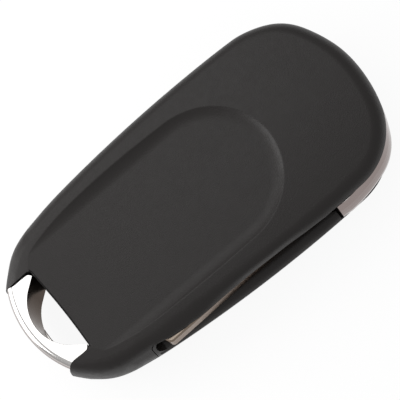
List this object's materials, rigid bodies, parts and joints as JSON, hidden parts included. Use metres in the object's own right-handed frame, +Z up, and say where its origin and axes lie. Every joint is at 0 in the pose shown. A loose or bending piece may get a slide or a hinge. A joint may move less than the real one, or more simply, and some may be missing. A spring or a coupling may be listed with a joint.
{
  "type": "key fob shell",
  "caption": "Folding car key fob shell: satin black halves, a bright key-ring bar and band, and a blank blade that swings out of a side slot.",
  "frame": {"origin": "middle of the box round the fob, on the plane its front face rests on", "axes": "+X along the fob to the blade head, the key-ring bar at -X; +Z up through the rear cover; the blade folds along the -Y side"},
  "size_m": [0.0781, 0.0393, 0.015],
  "materials": {
    "satin_black": "fine moulded satin black",
    "bright_plating": "bright plated, soft",
    "blade_metal": "nickel plated key blank",
    "steel": "plain steel",
    "inner_black": "matt black, moulded",
    "pad_rubber": "silicone rubber",
    "key_black": "soft-touch black"
  },
  "bodies": {
    "body": {"rear_cover": "satin_black", "front_housing": "satin_black", "ring_bar": "bright_plating", "ring_bar_pins": "steel", "front_trim": "bright_plating", "release_trim": "bright_plating", "silicone_pad": "pad_rubber", "board_tray": "inner_black", "tray_lid": "inner_black", "tray_screws": "steel", "chip_holder": "inner_black"},
    "head": {"blade_head": "satin_black", "head_band": "bright_plating", "blade": "blade_metal", "blade_pin": "steel", "flip_spring": "steel", "spring_cap": "inner_black"},
    "release_button": {"release_button": "bright_plating"},
    "lock_button": {"lock_button": "key_black"},
    "unlock_button": {"unlock_button": "key_black"},
    "boot_button": {"boot_button": "key_black"}
  },
  "joints": [
    {"name": "head_turn", "type": "hinge", "parent": "body", "child": "head", "pos_m": [0.0246, -0.0057, 0], "axis": [0, 0, 1], "range_deg": [0, 176.6]},
    {"name": "release_press", "type": "slide", "parent": "head", "child": "release_button", "axis": [0, 0, 1], "range_m": [0, 0.0014], "stiffness_N_per_m": 500, "springref_m": -0.001},
    {"name": "lock_button_press", "type": "slide", "parent": "body", "child": "lock_button", "axis": [0, 0, 1], "range_m": [0, 0.0005], "stiffness_N_per_m": 500, "springref_m": -0.0005},
    {"name": "unlock_button_press", "type": "slide", "parent": "body", "child": "unlock_button", "axis": [0, 0, 1], "range_m": [0, 0.0005], "stiffness_N_per_m": 500, "springref_m": -0.0005},
    {"name": "boot_button_press", "type": "slide", "parent": "body", "child": "boot_button", "axis": [0, 0, 1], "range_m": [0, 0.0005], "stiffness_N_per_m": 500, "springref_m": -0.0005}
  ]
}
